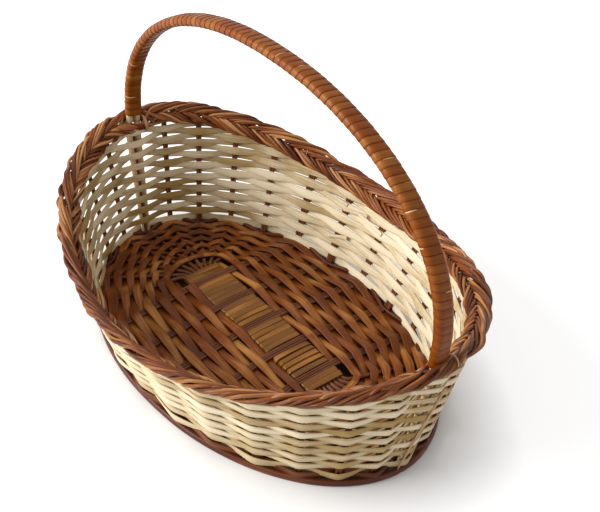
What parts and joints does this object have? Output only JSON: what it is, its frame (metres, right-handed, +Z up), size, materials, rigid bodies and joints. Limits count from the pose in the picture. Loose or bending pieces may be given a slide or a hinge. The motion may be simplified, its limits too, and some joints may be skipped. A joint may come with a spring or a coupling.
{
  "type": "cane basket with bow handle",
  "caption": "Oval open cane basket with a woven strip wall that rises to its ends, a plaited rim, a ladder-centred woven floor and a wrapped bow handle.",
  "frame": {"origin": "on the ground under the middle of the basket, level with the underside of the foot", "axes": "+Z up, +X along the long axis of the oval, towards one leg of the bow handle, +Y towards one long side"},
  "size_m": [0.4008, 0.2942, 0.2741],
  "materials": {
    "pale_strip": "flat split cane, dry and matt",
    "dark_stake": "dark stained cane rods, slightly shiny",
    "rim_cane": "red-brown stained cane, satin",
    "foot_cane": "dark red-brown stained cane, satin",
    "floor_cane": "brown stained cane, satin",
    "wrap_cane": "golden brown flat cane, glossy",
    "handle_cane": "orange-brown flat cane, glossy",
    "bare_rod": "pale peeled cane rod, dry"
  },
  "bodies": {
    "root": {"floor_sticks": "dark_stake", "floor_weaver_a": "floor_cane", "floor_weaver_b": "floor_cane", "ladder_wrap_1": "wrap_cane", "ladder_wrap_2": "wrap_cane", "ladder_wrap_3": "wrap_cane", "ladder_wrap_4": "wrap_cane", "ladder_wrap_right": "wrap_cane", "ladder_wrap_left": "wrap_cane", "foot_hoop": "foot_cane", "foot_cane": "foot_cane", "stake_01": "dark_stake", "stake_02": "dark_stake", "stake_03": "dark_stake", "stake_04": "dark_stake", "stake_05": "dark_stake", "stake_06": "dark_stake", "stake_07": "dark_stake", "stake_08": "dark_stake", "stake_09": "dark_stake", "stake_10": "dark_stake", "stake_11": "dark_stake", "stake_12": "dark_stake", "stake_13": "dark_stake", "stake_14": "dark_stake", "stake_15": "dark_stake", "stake_16": "dark_stake", "stake_17": "dark_stake", "stake_18": "dark_stake", "stake_19": "dark_stake", "stake_20": "dark_stake", "stake_21": "dark_stake", "stake_22": "dark_stake", "stake_23": "dark_stake", "stake_24": "dark_stake", "stake_25": "dark_stake", "stake_26": "dark_stake", "stake_27": "dark_stake", "stake_28": "dark_stake", "wall_strip_01": "pale_strip", "wall_strip_02": "pale_strip", "wall_strip_03": "pale_strip", "wall_strip_04": "pale_strip", "wall_strip_05": "pale_strip", "wall_strip_06": "pale_strip", "wall_strip_07": "pale_strip", "wall_strip_08": "pale_strip", "wall_strip_09": "pale_strip", "wall_strip_10": "pale_strip", "wall_strip_11": "pale_strip", "wall_strip_12": "pale_strip", "turned_back_strip_right": "pale_strip", "turned_back_strip_left": "pale_strip", "rim_strand_1": "rim_cane", "rim_strand_2": "rim_cane", "rim_strand_3": "rim_cane", "handle_rod_near": "bare_rod", "handle_rod_far": "bare_rod", "handle_wrap": "handle_cane"}
  },
  "joints": []
}
